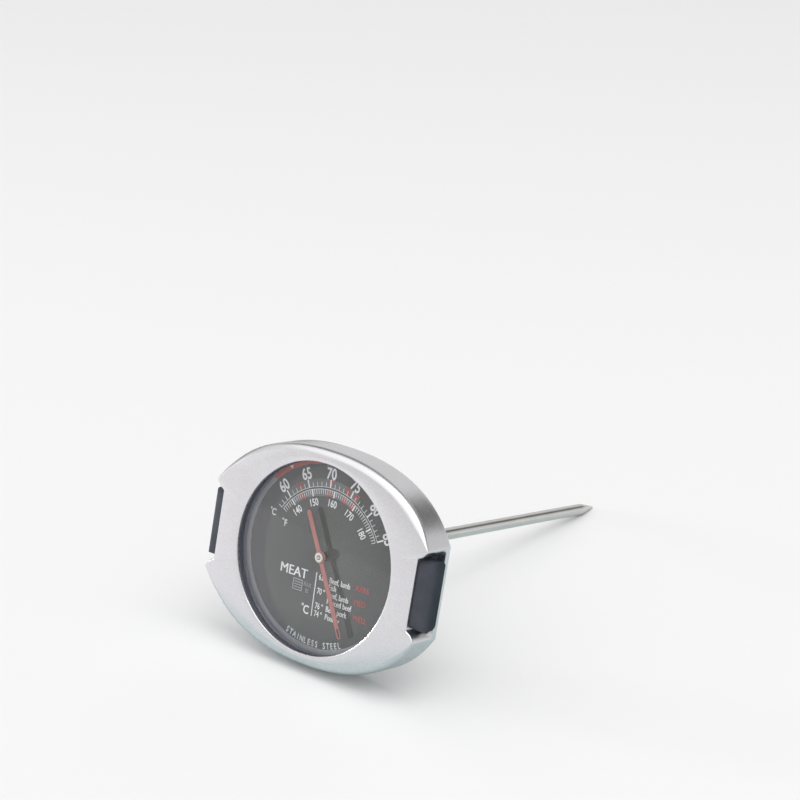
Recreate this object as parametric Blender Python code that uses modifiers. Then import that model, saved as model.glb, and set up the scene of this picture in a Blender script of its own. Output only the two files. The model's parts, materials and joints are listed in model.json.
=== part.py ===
"""Dial thermometer with a probe, standing on the back edge of its housing and the tip of its stem.

Units are metres and +Z is up. Each piece is modelled round one axis, the stem's, which runs from the
middle of the round opening to the tip. In that frame +X is to the right as the dial is read, +Y is down
the dial, and +Z is depth: 0 in the plane of the opening, growing towards the tip. The frame is then
tilted onto the ground.
"""

import math

import bmesh
import bpy
from mathutils import Vector

MM = 0.001
GAP = 0.3 * MM

# Housing: a full oval with a short flat foot, squared ends and a pocket in each end for a grip.
OVAL_X = 40.6 * MM
OVAL_Y = 31.2 * MM
OVAL_POWER = 2.25
FOOT_HALF_X = 2.5 * MM
END_X = 38.1 * MM
END_BLEND = 2.0 * MM
POCKET_X = 35.2 * MM
POCKET_LIP_Y = 12.6 * MM
POCKET_FLOOR_Y = 10.2 * MM
POCKET_BACK_Z = 8.6 * MM
HOUSING_DEPTH = 11.0 * MM
SHEET = 0.5 * MM
CORNER_R = 1.6 * MM
SIDE_MIN = 0.1 * MM

# Bezel face: from the rolled edge of the opening, over a slight crown, to the crease of the shoulder.
OPENING_R = 27.5 * MM
OPENING_LIP_Z = 0.8 * MM
OPENING_ROLL = 0.3 * MM
CROWN = 0.3 * MM
SHOULDER_TOP = 1.7 * MM
SHOULDER_END = 0.3 * MM
SHOULDER_SLOPE = 1.6
SHOULDER_START = math.radians(22)
SHOULDER_FADE = (12.0 * MM, 22.0 * MM)
RIM_R = 0.5 * MM
RIM_LIP = 1.3 * MM

# Grips, each held by two pegs with heads behind the pocket's floor.
GRIP_HALF_HEIGHT = 9.9 * MM
GRIP_FRONT_Z = 0.9 * MM
GRIP_BACK_Z = POCKET_BACK_Z - GAP
GRIP_OUT_X = 38.9 * MM
GRIP_FRONT_ROUND = 1.3 * MM
GRIP_BACK_ROUND = 0.5 * MM
GRIP_CORNER = 2.6 * MM
GRIP_EDGE = 0.45 * MM
GRIP_EDGE_ANGLE = math.radians(50)
PEG_Y = 5.5 * MM
PEG_R = 1.4 * MM
PEG_HEAD_R = 2.3 * MM
PEG_HEAD_TIP_R = 1.8 * MM
PEG_HEAD = 0.9 * MM
PEG_ROOT = 1.0 * MM

# Back cover.
COVER_SHEET = 0.45 * MM
COVER_FLANGE_Z = 10.2 * MM
COVER_FLANGE = 1.4 * MM
COVER_STEP = 0.9 * MM
COVER_LAND_Z = 12.7 * MM
COVER_LAND_R = 12.0 * MM
COVER_HOLE_R = 3.6 * MM
COVER_DOME_STEPS = 3

# Glass, the ring that carries it, target ring and dial.
LENS_R = 27.8 * MM
LENS_Z = 1.4 * MM
LENS_THICK = 1.0 * MM
WELL_R = 28.6 * MM
WELL_FRONT_Z = 1.4 * MM
WELL_SEAT_R = 27.5 * MM
TARGET_R = 27.9 * MM
TARGET_INNER_R = 26.3 * MM
TARGET_Z = 4.3 * MM
TARGET_THICK = 0.4 * MM
LENS_SEAL_R = 29.2 * MM
LENS_SEAL_THICK = 0.4 * MM
DIAL_Z = 5.0 * MM
DIAL_R = 28.5 * MM
DIAL_THICK = 0.5 * MM
DIAL_HOLE_R = 1.3 * MM

# Carrier: a round wall and an oval plate in one moulding, and the flat seal behind it.
CARRIER_R = 30.0 * MM
CARRIER_PLATE_Z = 7.7 * MM
CARRIER_BACK_Z = 8.65 * MM
CARRIER_OVERLAP = 0.5 * MM
DIAL_LEDGE_R = 24.0 * MM
DIAL_LEDGE = 0.8 * MM
CARRIER_HOLE_R = 9.0 * MM
FIT_INSET = SHEET + GAP
SEAL_THICK = 0.5 * MM
SEAL_INSET = 2.2 * MM
SEAL_END_X = 33.0 * MM

# Stem, and the bearings, shaft and coil in it.
TIP_Z = 145.2 * MM
TIP_CONE = 7.5 * MM
TIP_R = 0.35 * MM
STEM_R = 1.8 * MM
BORE_R = 1.35 * MM
BORE_END_Z = 136.5 * MM
STEM_TOP_Z = 6.7 * MM
BUSH_R = BORE_R - GAP
BUSH_BORE_R = 0.75 * MM
BUSH_FLANGE_R = 1.75 * MM
BUSH_FLANGE = 0.5 * MM
BUSH_LENGTH = 2.0 * MM
LOWER_BEARING_Z = 100.0 * MM
SHAFT_R = 0.45 * MM
SHAFT_TOP_Z = 2.8 * MM
SHAFT_END_Z = 105.0 * MM
COIL_R = 0.75 * MM
COIL_WIRE_R = 0.22 * MM
COIL_TURNS = 9
COIL_PITCH = 2.6 * MM
COIL_STEPS = 8
ANCHOR_LENGTH = 1.2 * MM

# Collar, washer and nut.
COLLAR_R = 5.2 * MM
COLLAR_FLANGE = 1.0 * MM
COLLAR_NECK_R = 3.4 * MM
COLLAR_NECK = 1.0 * MM
COLLAR_END_R = 2.7 * MM
COLLAR_END_Z = 20.0 * MM
SHANK_R = 3.2 * MM
SHANK_END_Z = 8.4 * MM
WASHER_R = 6.4 * MM
WASHER_THICK = 0.6 * MM
NUT_FLATS = 9.0 * MM
NUT_THICK = 2.2 * MM

# Pointer: it points up the dial in its own frame, which is then turned clockwise to the reading.
POINTER_REST = math.radians(151.8)
POINTER_Z = 3.4 * MM
POINTER_THICK = 0.25 * MM
POINTER_LONG = 23.5 * MM
POINTER_TAIL = 13.8 * MM
POINTER_HALF_WIDTH = 0.75 * MM
POINTER_DISC_R = 1.85 * MM
POINTER_HOLE_R = 1.2 * MM
SLOT_LENGTH = 2.6 * MM
SLOT_HALF_WIDTH = 0.38 * MM
HUB_HEAD_R = 1.4 * MM
HUB_SHANK_R = 0.95 * MM
HUB_HEAD = 0.35 * MM
HUB_CHAMFER = 0.12 * MM
HUB_BORE_R = 0.7 * MM

ROUND = 48
SMALL_ROUND = 20
OVAL_STEPS = 9
CORNER_STEPS = 3
LIP_STEPS = 2
SHOULDER_STEPS = 3
RIM_STEPS = 2
GRIP_STEPS = 4
SLOT_STEPS = 2
POINTER_END_STEPS = 4
POINTER_DISC_STEPS = 10
CORNER_SHARE = 0.45
SMOOTH_ANGLE = math.radians(30)


def clear_scene():
    for item in list(bpy.data.objects):
        bpy.data.objects.remove(item, do_unlink=True)


def new_collection(name):
    collection = bpy.data.collections.new(name)
    bpy.context.scene.collection.children.link(collection)
    return collection


def principled(name, colour, roughness, metallic, alpha=1.0):
    material = bpy.data.materials.new(name)
    material.use_nodes = True
    shader = material.node_tree.nodes["Principled BSDF"]
    shader.inputs["Base Color"].default_value = (*colour, 1.0)
    shader.inputs["Roughness"].default_value = roughness
    shader.inputs["Metallic"].default_value = metallic
    shader.inputs["Alpha"].default_value = alpha
    return material


def mesh_object(name, points, edges, faces):
    mesh = bpy.data.meshes.new(name)
    mesh.from_pydata(points, edges, faces)
    item = bpy.data.objects.new(name, mesh)
    PARTS.objects.link(item)
    return item


def turned(name, profile, segments=ROUND, closed=False):
    """A turned solid. The profile's (radius, depth) pairs run down the outer side as the depth falls."""
    points = [(radius, 0.0, depth) for radius, depth in profile]
    edges = [(i, i + 1) for i in range(len(points) - 1)]
    if closed:
        edges.append((len(points) - 1, 0))
    item = mesh_object(name, points, edges, [])
    screw = item.modifiers.new("Turn", "SCREW")
    screw.angle = math.tau
    screw.steps = segments
    screw.render_steps = segments
    screw.use_merge_vertices = True
    screw.merge_threshold = 1e-6
    return item


def ring(name, outer, bore, front, back, segments=SMALL_ROUND):
    return turned(name, [(outer, back), (outer, front), (bore, front), (bore, back)], segments, closed=True)


def flat(name, outlines, front, back):
    """A plate between two depths. The first outline is its edge, and the others are holes."""
    curve = bpy.data.curves.new(name, "CURVE")
    curve.dimensions = "2D"
    curve.fill_mode = "BOTH"
    curve.extrude = (back - front) / 2
    for outline in outlines:
        spline = curve.splines.new("POLY")
        spline.points.add(len(outline) - 1)
        spline.use_cyclic_u = True
        for point, (x, y) in zip(spline.points, outline):
            point.co = (x, y, 0.0, 1.0)
    item = bpy.data.objects.new(name, curve)
    item.location.z = (front + back) / 2
    PARTS.objects.link(item)
    return item


def as_mesh(item):
    """Swaps an object for its evaluated shape, welded, as a plain mesh in the same place."""
    name = item.name
    bpy.context.view_layer.update()
    graph = bpy.context.evaluated_depsgraph_get()
    mesh = bpy.data.meshes.new_from_object(item.evaluated_get(graph))
    matrix = item.matrix_world.copy()
    bpy.data.objects.remove(item, do_unlink=True)
    shape = bmesh.new()
    shape.from_mesh(mesh)
    bmesh.ops.remove_doubles(shape, verts=shape.verts, dist=1e-6)
    shape.to_mesh(mesh)
    shape.free()
    mesh.name = name
    made = bpy.data.objects.new(name, mesh)
    made.matrix_world = matrix
    PARTS.objects.link(made)
    return made


def combine(target, tool, operation):
    """Cuts, joins or intersects the target with a tool, which becomes a hidden guide."""
    PARTS.objects.unlink(tool)
    CUTTERS.objects.link(tool)
    tool.hide_render = True
    tool.display_type = "WIRE"
    boolean = target.modifiers.new(tool.name, "BOOLEAN")
    boolean.operation = operation
    boolean.solver = "EXACT"
    boolean.object = tool
    return target


def lofted(name, loops, thickness):
    """A sheet through loops of as many points each, from front to back, thickened inwards."""
    count = len(loops[0])
    points = [point for loop in loops for point in loop]
    faces = []
    for row in range(len(loops) - 1):
        start = row * count
        for i in range(count):
            after = (i + 1) % count
            faces.append((start + i, start + count + i, start + count + after, start + after))
    item = mesh_object(name, points, [], faces)
    solidify = item.modifiers.new("Sheet", "SOLIDIFY")
    solidify.thickness = thickness
    solidify.offset = -1
    solidify.use_even_offset = True
    return item


def at_depth(loop, depth):
    return [(x, y, depth) for x, y in loop]


def between(first, second, share):
    """The points that lie this share of the way from one loop to another."""
    return [tuple(a + (b - a) * share for a, b in zip(p, q)) for p, q in zip(first, second)]


def smooth_step(value, low, high):
    share = min(1.0, max(0.0, (value - low) / (high - low)))
    return share * share * (3 - 2 * share)


def circle(radius, count=SMALL_ROUND, centre=(0.0, 0.0)):
    turns = [math.tau * i / count for i in range(count)]
    return [(centre[0] + radius * math.sin(t), centre[1] + radius * math.cos(t)) for t in turns]


def blend(start, corner, end, steps):
    """Points of a quadratic curve from start to end, whose ends both aim at the corner."""
    start, corner, end = Vector(start), Vector(corner), Vector(end)
    shares = [i / steps for i in range(steps + 1)]
    return [tuple(start * (1 - t) ** 2 + corner * 2 * t * (1 - t) + end * t ** 2) for t in shares]


def rounded_corner(before, corner, after, reach, steps):
    """Points that round a corner, starting and ending at most reach from it."""
    corner = Vector(corner)
    ends = []
    for neighbour in (before, after):
        arm = Vector(neighbour) - corner
        ends.append(corner + arm * min(CORNER_SHARE, reach / arm.length))
    return blend(ends[0], corner, ends[1], steps)


def mirrored_loop(quarter):
    """A closed loop from a quarter that runs from beside the Y axis to the X axis."""
    right = quarter + [(x, -y) for x, y in reversed(quarter[:-1])]
    return right + [(-x, y) for x, y in reversed(right)]


def oval_point(across, down, turn):
    return across * math.cos(turn) ** (2 / OVAL_POWER), down * math.sin(turn) ** (2 / OVAL_POWER)


def oval_slope(across, down, x):
    """How far the oval's edge falls for each unit that it runs outwards, at this x."""
    share = x / across
    return down / across * share ** (OVAL_POWER - 1) * (1 - share ** OVAL_POWER) ** (1 / OVAL_POWER - 1)


def oval(inset=0.0, pocket=False, end_x=None):
    """The housing's outline moved inwards, with squared ends, and with or without the pockets."""
    across, down = OVAL_X - inset, OVAL_Y - inset
    end = end_x or END_X - inset
    last_turn = math.acos(((end - END_BLEND) / across) ** (OVAL_POWER / 2))
    turns = [math.pi / 2 + (last_turn - math.pi / 2) * i / OVAL_STEPS for i in range(OVAL_STEPS)]
    quarter = [oval_point(across, down, turn) for turn in turns]
    quarter[0] = (FOOT_HALF_X, down)
    last = oval_point(across, down, last_turn)
    corner_y = last[1] - END_BLEND * oval_slope(across, down, last[0])
    shift = inset if pocket else 0.0
    side_y = min(corner_y - SIDE_MIN, POCKET_LIP_Y + shift + CORNER_R)
    side = (end, side_y)
    lip = (end, min(side_y - SIDE_MIN, POCKET_LIP_Y + shift))
    floor = (POCKET_X - inset, POCKET_FLOOR_Y + shift)
    middle = (POCKET_X - inset, 0.0)
    quarter += blend(last, (end, corner_y), side, CORNER_STEPS)
    square_from = len(quarter)
    quarter += rounded_corner(side, lip, floor, CORNER_R, CORNER_STEPS)
    quarter += rounded_corner(lip, floor, middle, CORNER_R, LIP_STEPS)
    quarter += [(middle[0], floor[1] / 2), middle]
    if not pocket:
        quarter[square_from:] = [(end, y) for _, y in quarter[square_from:]]
    return mirrored_loop(quarter)


def round_loop(outline, radius, depth):
    """A circle whose points lie in the same directions as an outline's."""
    scales = [radius / math.hypot(x, y) for x, y in outline]
    return [(x * scale, y * scale, depth) for (x, y), scale in zip(outline, scales)]


def bezel_loops():
    """The bezel's outer surface: rolled edge, face, shoulder, band with pockets, ledge, back rim."""
    edge = oval(0.0, pocket=True)
    inner = oval(SHOULDER_TOP, pocket=True)
    growth = SHOULDER_TOP - SHOULDER_END
    insets = [SHOULDER_END + growth * smooth_step(abs(y), *SHOULDER_FADE) for _, y in edge]

    def shoulder(turn):
        loop = []
        for (x, y), (inner_x, inner_y), inset in zip(edge, inner, insets):
            reach = (1 - math.sin(turn)) / (1 - math.sin(SHOULDER_START))
            share = reach * inset / SHOULDER_TOP
            drop = (math.cos(SHOULDER_START) - math.cos(turn)) / math.cos(SHOULDER_START)
            depth = inset * SHOULDER_SLOPE * drop
            loop.append((x + (inner_x - x) * share, y + (inner_y - y) * share, depth))
        return loop

    roll = round_loop(edge, OPENING_R + OPENING_ROLL, -CROWN / 2)
    crease = shoulder(SHOULDER_START)
    loops = [
        round_loop(edge, OPENING_R, OPENING_LIP_Z),
        round_loop(edge, OPENING_R, OPENING_ROLL - CROWN / 2),
        roll,
    ]
    loops.append([(x, y, z - CROWN / 2) for x, y, z in between(roll, crease, 0.5)])
    for i in range(SHOULDER_STEPS + 1):
        loops.append(shoulder(SHOULDER_START + (math.pi / 2 - SHOULDER_START) * i / SHOULDER_STEPS))
    loops.append(at_depth(edge, POCKET_BACK_Z))
    loops.append(at_depth(oval(), POCKET_BACK_Z + GAP))
    for i in range(RIM_STEPS + 1):
        turn = math.pi / 2 * i / RIM_STEPS
        inset = RIM_R * (1 - math.cos(turn))
        loops.append(at_depth(oval(inset), HOUSING_DEPTH - RIM_R * (1 - math.sin(turn))))
    loops.append(at_depth(oval(RIM_LIP), HOUSING_DEPTH))
    return loops


def front_bezel():
    item = lofted("front_bezel", bezel_loops(), SHEET)
    for index, y in enumerate((-PEG_Y, PEG_Y)):
        hole = turned(f"peg_holes_{index}", rod(PEG_R + GAP, -OVAL_X, OVAL_X))
        hole.rotation_euler.y = math.pi / 2
        hole.location = (0.0, y, peg_depth())
        combine(item, hole, "DIFFERENCE")
    return item


def rod(radius, low, high):
    return [(0.0, high), (radius, high), (radius, low), (0.0, low)]


def peg_depth():
    return (GRIP_FRONT_Z + GRIP_BACK_Z) / 2


def polygon_with_round_corners(corners, reaches, steps):
    outline = []
    for i, (corner, reach) in enumerate(zip(corners, reaches)):
        before, after = corners[i - 1], corners[(i + 1) % len(corners)]
        outline += rounded_corner(before, corner, after, reach, steps) if reach else [corner]
    return outline


def grip(name, side):
    """A block with a rounded front edge and two pegs. Side is 1 on the right and -1 on the left."""
    inner = POCKET_X + GAP
    outer, front, back = GRIP_OUT_X, GRIP_FRONT_Z, GRIP_BACK_Z
    section = polygon_with_round_corners(
        [(inner, front), (outer, front), (outer, back), (inner, back)],
        [0.0, GRIP_FRONT_ROUND, GRIP_BACK_ROUND, 0.0],
        GRIP_STEPS,
    )
    body = flat(name, [section], -GRIP_HALF_HEIGHT, GRIP_HALF_HEIGHT)
    body.location.z = 0.0
    body.rotation_euler.x = math.pi / 2
    body = as_mesh(body)
    high = GRIP_HALF_HEIGHT
    side_view = polygon_with_round_corners(
        [(front, -high), (back, -high), (back, high), (front, high)],
        [GRIP_CORNER] * 4,
        GRIP_STEPS,
    )
    trim = flat(f"{name}_trim", [side_view], 0.0, OVAL_X)
    trim.rotation_euler.y = -math.pi / 2
    trim.location = (OVAL_X, 0.0, 0.0)
    combine(body, as_mesh(trim), "INTERSECT")
    bevel = body.modifiers.new("Edge", "BEVEL")
    bevel.width = GRIP_EDGE
    bevel.segments = 2
    bevel.limit_method = "ANGLE"
    bevel.angle_limit = GRIP_EDGE_ANGLE
    for index, y in enumerate((-PEG_Y, PEG_Y)):
        combine(body, peg(f"{name}_peg_{index}", y), "UNION")
    body = as_mesh(body)
    if side < 0:
        body.rotation_euler.z = math.pi
    return body


def peg(name, y):
    head = POCKET_X - SHEET - GAP
    profile = [
        (0.0, POCKET_X + GAP + PEG_ROOT),
        (PEG_R, POCKET_X + GAP + PEG_ROOT),
        (PEG_R, head),
        (PEG_HEAD_R, head),
        (PEG_HEAD_TIP_R, head - PEG_HEAD),
        (0.0, head - PEG_HEAD),
    ]
    item = turned(name, profile, SMALL_ROUND // 2)
    item.rotation_euler.y = math.pi / 2
    item.location = (0.0, y, peg_depth())
    return item


def back_cover():
    """A shallow pan: flange under the bezel's rim, a step, a dome, and a flat land round the stem."""
    step_start = FIT_INSET + COVER_FLANGE
    step_end = step_start + COVER_STEP
    step_depth = COVER_FLANGE_Z + COVER_STEP
    shoulder = at_depth(oval(step_end), step_depth)
    land = round_loop(oval(), COVER_LAND_R, COVER_LAND_Z)
    loops = [round_loop(oval(), COVER_HOLE_R, COVER_LAND_Z), land]
    rise = COVER_LAND_Z - step_depth
    for i in range(1, COVER_DOME_STEPS):
        share = i / COVER_DOME_STEPS
        lift = rise * (math.sin(math.pi / 2 * (1 - share)) - (1 - share))
        loops.append([(x, y, z + lift) for x, y, z in between(land, shoulder, share)])
    loops.append(shoulder)
    loops.append(at_depth(oval(step_start), COVER_FLANGE_Z))
    loops.append(at_depth(oval(FIT_INSET), COVER_FLANGE_Z))
    return lofted("back_cover", loops[::-1], COVER_SHEET)


def case_gasket():
    front = CARRIER_BACK_Z + GAP
    outlines = [oval(FIT_INSET, pocket=True), oval(SEAL_INSET, end_x=SEAL_END_X)]
    return flat("case_gasket", outlines, front, front + SEAL_THICK)


def dial_carrier():
    bore = WELL_R + GAP
    ledge = DIAL_Z + DIAL_THICK + GAP
    back = CARRIER_PLATE_Z + CARRIER_OVERLAP
    profile = [
        (CARRIER_R, back),
        (CARRIER_R, WELL_FRONT_Z),
        (bore, WELL_FRONT_Z),
        (bore, ledge),
        (DIAL_LEDGE_R, ledge),
        (DIAL_LEDGE_R, ledge + DIAL_LEDGE),
        (bore, ledge + DIAL_LEDGE),
        (bore, back),
    ]
    outlines = [oval(FIT_INSET, pocket=True), circle(CARRIER_HOLE_R)]
    plate = flat("dial_carrier", outlines, CARRIER_PLATE_Z, CARRIER_BACK_Z)
    return combine(as_mesh(plate), turned("carrier_wall", profile, closed=True), "UNION")


def lens_seal():
    back = WELL_FRONT_Z - GAP
    return ring("lens_seal", LENS_SEAL_R, TARGET_R + GAP, back - LENS_SEAL_THICK, back, ROUND)


def lens_glass():
    back = LENS_Z + LENS_THICK
    return turned("lens_glass", rod(LENS_R, LENS_Z, back))


def well_ring():
    pocket = LENS_R + GAP
    seat = LENS_Z + LENS_THICK + GAP
    counterbore = TARGET_R + GAP
    back = TARGET_Z + TARGET_THICK
    profile = [
        (WELL_R, back),
        (WELL_R, WELL_FRONT_Z),
        (pocket, WELL_FRONT_Z),
        (pocket, seat),
        (WELL_SEAT_R, seat),
        (WELL_SEAT_R, TARGET_Z - GAP),
        (counterbore, TARGET_Z - GAP),
        (counterbore, back),
    ]
    return turned("well_ring", profile, closed=True)


def target_ring():
    return ring("target_ring", TARGET_R, TARGET_INNER_R, TARGET_Z, TARGET_Z + TARGET_THICK, ROUND)


def dial_plate():
    return ring("dial_plate", DIAL_R, DIAL_HOLE_R, DIAL_Z, DIAL_Z + DIAL_THICK, ROUND)


def pointer_outline():
    """Half of the pointer, from the middle of its tip down the right side to its tail, then mirrored."""
    half, disc = POINTER_HALF_WIDTH, POINTER_DISC_R
    shoulder = math.asin(half / disc)
    tip = [math.pi / 2 * i / POINTER_END_STEPS for i in range(POINTER_END_STEPS + 1)]
    right = [(half * math.sin(a), -POINTER_LONG + half * (1 - math.cos(a))) for a in tip]
    step = (math.pi - 2 * shoulder) / POINTER_DISC_STEPS
    sweep = [shoulder + step * i for i in range(POINTER_DISC_STEPS + 1)]
    right += [(disc * math.sin(a), -disc * math.cos(a)) for a in sweep]
    right += [(half * math.cos(a), POINTER_TAIL - half * (1 - math.sin(a))) for a in tip]
    return right + [(-x, y) for x, y in reversed(right[1:-1])]


def pointer():
    rim = POINTER_HALF_WIDTH - SLOT_HALF_WIDTH
    start = -POINTER_LONG + rim
    slot = polygon_with_round_corners(
        [(-SLOT_HALF_WIDTH, start), (SLOT_HALF_WIDTH, start), (SLOT_HALF_WIDTH, start + SLOT_LENGTH),
         (-SLOT_HALF_WIDTH, start + SLOT_LENGTH)],
        [SLOT_HALF_WIDTH] * 4,
        SLOT_STEPS,
    )
    outlines = [pointer_outline(), circle(POINTER_HOLE_R), slot]
    return flat("pointer", outlines, POINTER_Z, POINTER_Z + POINTER_THICK)


def pointer_hub():
    """A rivet: head in front of the pointer, collar behind it."""
    front = POINTER_Z - GAP - HUB_HEAD
    collar = POINTER_Z + POINTER_THICK + GAP
    profile = [
        (HUB_HEAD_R, collar + HUB_HEAD),
        (HUB_HEAD_R, collar),
        (HUB_SHANK_R, collar),
        (HUB_SHANK_R, POINTER_Z - GAP),
        (HUB_HEAD_R, POINTER_Z - GAP),
        (HUB_HEAD_R, front + HUB_CHAMFER),
        (HUB_HEAD_R - HUB_CHAMFER, front),
        (HUB_BORE_R, front),
        (HUB_BORE_R, collar + HUB_HEAD),
    ]
    return turned("pointer_hub", profile, SMALL_ROUND, closed=True)


def pointer_shaft():
    return turned("pointer_shaft", rod(SHAFT_R, SHAFT_TOP_Z, SHAFT_END_Z), SMALL_ROUND // 2)


def stem_tube():
    """A tube that is closed at the end and ground to a rounded point."""
    slant = TIP_R * math.sin(math.pi / 4)
    profile = [
        (0.0, TIP_Z),
        (slant, TIP_Z - TIP_R + slant),
        (TIP_R, TIP_Z - TIP_R),
        (STEM_R, TIP_Z - TIP_CONE),
        (STEM_R, STEM_TOP_Z),
        (BORE_R, STEM_TOP_Z),
        (BORE_R, BORE_END_Z),
        (0.0, BORE_END_Z + BORE_R),
    ]
    return turned("stem_tube", profile, SMALL_ROUND)


def upper_bearing():
    seat = STEM_TOP_Z - GAP
    profile = [
        (BUSH_R, STEM_TOP_Z + BUSH_LENGTH),
        (BUSH_R, seat),
        (BUSH_FLANGE_R, seat),
        (BUSH_FLANGE_R, seat - BUSH_FLANGE),
        (BUSH_BORE_R, seat - BUSH_FLANGE),
        (BUSH_BORE_R, STEM_TOP_Z + BUSH_LENGTH),
    ]
    return turned("upper_bearing", profile, SMALL_ROUND, closed=True)


def lower_bearing():
    return ring("lower_bearing", BUSH_R, BUSH_BORE_R, LOWER_BEARING_Z, LOWER_BEARING_Z + BUSH_LENGTH)


def bimetal_coil():
    """A helix from just past the shaft's end to just before the anchor."""
    curve = bpy.data.curves.new("bimetal_coil", "CURVE")
    curve.dimensions = "3D"
    curve.bevel_depth = COIL_WIRE_R
    curve.bevel_resolution = 2
    curve.use_fill_caps = True
    count = COIL_TURNS * COIL_STEPS + 1
    spline = curve.splines.new("POLY")
    spline.points.add(count - 1)
    start = SHAFT_END_Z + GAP + COIL_WIRE_R
    for i, point in enumerate(spline.points):
        turns = i / COIL_STEPS
        turn = math.tau * turns
        point.co = (COIL_R * math.cos(turn), COIL_R * math.sin(turn), start + COIL_PITCH * turns, 1.0)
    item = bpy.data.objects.new("bimetal_coil", curve)
    PARTS.objects.link(item)
    return item


def coil_anchor():
    front = SHAFT_END_Z + COIL_PITCH * COIL_TURNS + 2 * (GAP + COIL_WIRE_R)
    return turned("coil_anchor", rod(BUSH_R, front, front + ANCHOR_LENGTH), SMALL_ROUND)


def stem_collar():
    front = COVER_LAND_Z + GAP
    bore = STEM_R + GAP
    profile = [
        (COLLAR_END_R, COLLAR_END_Z),
        (COLLAR_NECK_R, front + COLLAR_FLANGE + COLLAR_NECK),
        (COLLAR_NECK_R, front + COLLAR_FLANGE),
        (COLLAR_R, front + COLLAR_FLANGE),
        (COLLAR_R, front),
        (SHANK_R, front),
        (SHANK_R, SHANK_END_Z),
        (bore, SHANK_END_Z),
        (bore, COLLAR_END_Z),
    ]
    return turned("stem_collar", profile, SMALL_ROUND, closed=True)


def washer_back():
    return COVER_LAND_Z - COVER_SHEET - GAP


def stem_washer():
    back = washer_back()
    return ring("stem_washer", WASHER_R, SHANK_R + GAP, back - WASHER_THICK, back)


def stem_nut():
    back = washer_back() - WASHER_THICK - GAP
    corners = circle(NUT_FLATS / 2 / math.cos(math.pi / 6), 6)
    return flat("stem_nut", [corners, circle(SHANK_R + GAP)], back - NUT_THICK, back)


STEEL = ((0.72, 0.71, 0.72), 0.3, 1.0)
DARK_PLASTIC = ((0.10, 0.10, 0.13), 0.45, 0.0)
BRASS = ((0.78, 0.62, 0.34), 0.3, 1.0)
SILICONE = ((0.035, 0.05, 0.07), 0.6, 0.0)
FINISHES = {
    "front_bezel": ((0.78, 0.77, 0.79), 0.28, 1.0),
    "back_cover": STEEL,
    "case_gasket": ((0.55, 0.55, 0.53), 0.7, 0.0),
    "grip_left": SILICONE,
    "grip_right": SILICONE,
    "lens_seal": ((0.25, 0.25, 0.27), 0.7, 0.0),
    "lens_glass": ((0.92, 0.95, 0.96), 0.03, 0.0, 0.2),
    "well_ring": DARK_PLASTIC,
    "target_ring": ((0.32, 0.32, 0.36), 0.5, 0.0),
    "dial_carrier": DARK_PLASTIC,
    "dial_plate": ((0.13, 0.13, 0.14), 0.5, 0.0),
    "pointer": ((0.55, 0.10, 0.08), 0.5, 0.0),
    "pointer_hub": ((0.80, 0.78, 0.74), 0.35, 1.0),
    "pointer_shaft": STEEL,
    "upper_bearing": BRASS,
    "lower_bearing": BRASS,
    "bimetal_coil": ((0.62, 0.52, 0.40), 0.35, 1.0),
    "coil_anchor": BRASS,
    "stem_tube": ((0.62, 0.60, 0.57), 0.3, 1.0),
    "stem_collar": STEEL,
    "stem_washer": STEEL,
    "stem_nut": STEEL,
}
POINTER_PIECES = ("pointer", "pointer_hub", "pointer_shaft")
TARGET_PIECES = ("target_ring", "well_ring", "lens_glass")


def empty(name, parent=None):
    item = bpy.data.objects.new(name, None)
    item.empty_display_size = 10 * MM
    item.parent = parent
    PARTS.objects.link(item)
    return item


def finish(item):
    item.data.materials.clear()
    item.data.materials.append(principled(item.name, *FINISHES[item.name]))
    if item.type == "MESH" and item.data.polygons:
        item.data.shade_smooth()
        item.data.set_sharp_from_angle(angle=SMOOTH_ANGLE)


def rest_tilt():
    """The stem's slope when the housing's rounded back rim and the rounded tip touch level ground."""
    down = OVAL_Y - RIM_R
    along = (TIP_Z - TIP_R) - (HOUSING_DEPTH - RIM_R)
    return math.atan2(down, along) + math.asin((RIM_R - TIP_R) / math.hypot(down, along))


def stand(root, pieces):
    """Tilts the stem's axis onto the ground and centres the box round the pieces over the origin."""
    root.rotation_euler.x = -(math.pi / 2 + rest_tilt())
    bpy.context.view_layer.update()
    graph = bpy.context.evaluated_depsgraph_get()
    points = []
    for piece in pieces:
        shown = piece.evaluated_get(graph)
        mesh = shown.to_mesh()
        points += [shown.matrix_world @ vertex.co for vertex in mesh.vertices]
        shown.to_mesh_clear()
    low = [min(point[i] for point in points) for i in range(3)]
    high = [max(point[i] for point in points) for i in range(3)]
    root.location = (-(low[0] + high[0]) / 2, -(low[1] + high[1]) / 2, -low[2])


def build():
    case = [front_bezel(), back_cover(), case_gasket(), grip("grip_left", -1), grip("grip_right", 1)]
    glazing = [lens_seal(), lens_glass(), well_ring(), target_ring()]
    dial = [dial_carrier(), dial_plate(), pointer(), pointer_hub(), pointer_shaft()]
    movement = [upper_bearing(), lower_bearing(), bimetal_coil(), coil_anchor()]
    stem = [stem_tube(), stem_collar(), stem_washer(), stem_nut()]
    pieces = case + glazing + dial + movement + stem
    stem_axis = empty("stem_axis")
    pointer_axis = empty("pointer_axis", stem_axis)
    pointer_axis.rotation_euler.z = POINTER_REST
    target_axis = empty("target_axis", stem_axis)
    for piece in pieces:
        finish(piece)
        piece.parent = stem_axis
        if piece.name in POINTER_PIECES:
            piece.parent = pointer_axis
        elif piece.name in TARGET_PIECES:
            piece.parent = target_axis
    for cutter in CUTTERS.objects:
        cutter.parent = stem_axis
    stand(stem_axis, pieces)


clear_scene()
PARTS = new_collection("probe_thermometer")
CUTTERS = new_collection("cutters")
build()
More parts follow.
